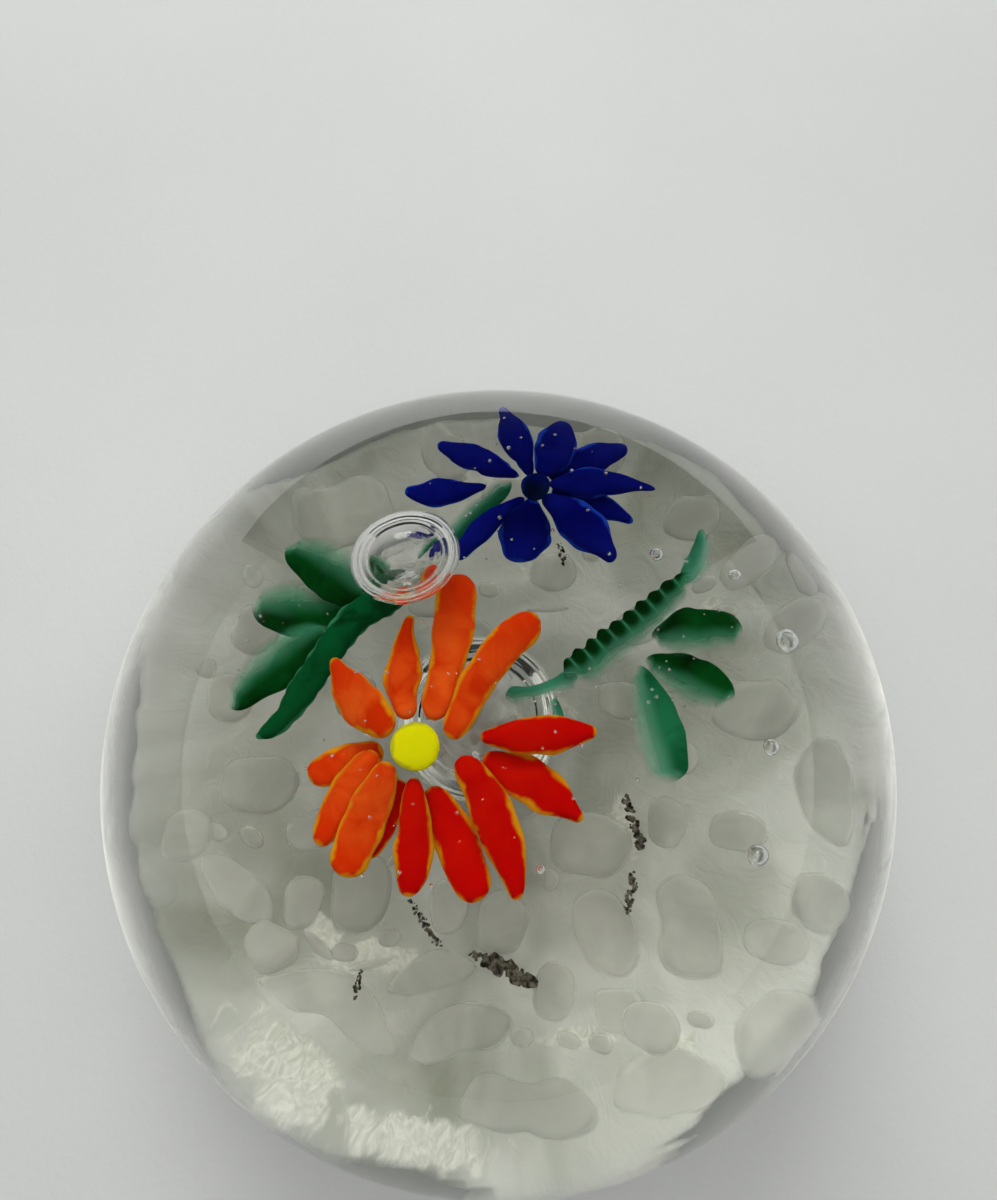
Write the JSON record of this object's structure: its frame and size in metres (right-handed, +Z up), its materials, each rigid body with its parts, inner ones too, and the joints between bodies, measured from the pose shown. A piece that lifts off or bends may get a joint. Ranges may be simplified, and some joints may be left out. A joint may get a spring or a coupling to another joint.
{
  "type": "floral glass paperweight",
  "caption": "Domed clear glass paperweight with an orange and a blue glass flower, green leaves and white chips sealed inside, on a flat foot.",
  "frame": {"origin": "centre of the flat foot, on the surface it rests on", "axes": "+Z up through the top of the dome; +Y towards the blue flower"},
  "size_m": [0.08, 0.08, 0.056],
  "materials": {
    "clear_glass": "polished",
    "orange_glass": "polished",
    "yellow_glass": "polished",
    "blue_glass": "polished",
    "dark_blue_glass": "polished",
    "green_glass": "polished",
    "white_glass": "polished"
  },
  "bodies": {
    "root": {"blue_centre": "dark_blue_glass", "blue_petal_01": "blue_glass", "blue_petal_02": "blue_glass", "blue_petal_03": "blue_glass", "blue_petal_04": "blue_glass", "blue_petal_05": "blue_glass", "blue_petal_06": "blue_glass", "blue_petal_07": "blue_glass", "blue_petal_08": "blue_glass", "blue_petal_09": "blue_glass", "blue_petal_10": "blue_glass", "blue_stem": "green_glass", "clear_base": "clear_glass", "clear_dome": "clear_glass", "left_leaf_01": "green_glass", "left_leaf_02": "green_glass", "left_leaf_03": "green_glass", "left_stem": "green_glass", "opal_bed": "white_glass", "opal_chip_01": "white_glass", "opal_chip_02": "white_glass", "opal_chip_03": "white_glass", "opal_chip_04": "white_glass", "opal_chip_05": "white_glass", "opal_chip_06": "white_glass", "opal_chip_07": "white_glass", "opal_chip_08": "white_glass", "opal_chip_09": "white_glass", "opal_chip_10": "white_glass", "opal_chip_11": "white_glass", "opal_chip_12": "white_glass", "opal_chip_13": "white_glass", "opal_chip_14": "white_glass", "opal_chip_15": "white_glass", "opal_chip_16": "white_glass", "opal_crumbs": "white_glass", "opal_pebbles": "white_glass", "opal_slivers": "white_glass", "orange_centre": "yellow_glass", "orange_petal_01": "orange_glass", "orange_petal_02": "orange_glass", "orange_petal_03": "orange_glass", "orange_petal_04": "orange_glass", "orange_petal_05": "orange_glass", "orange_petal_06": "orange_glass", "orange_petal_07": "orange_glass", "orange_petal_08": "orange_glass", "orange_petal_09": "orange_glass", "orange_petal_10": "orange_glass", "orange_petal_11": "orange_glass", "orange_petal_12": "orange_glass", "orange_petal_13": "orange_glass", "right_leaf_01": "green_glass", "right_leaf_02": "green_glass", "right_leaf_03": "green_glass", "right_link_01": "green_glass", "right_link_02": "green_glass", "right_stem": "green_glass", "right_tip": "green_glass"}
  },
  "joints": []
}
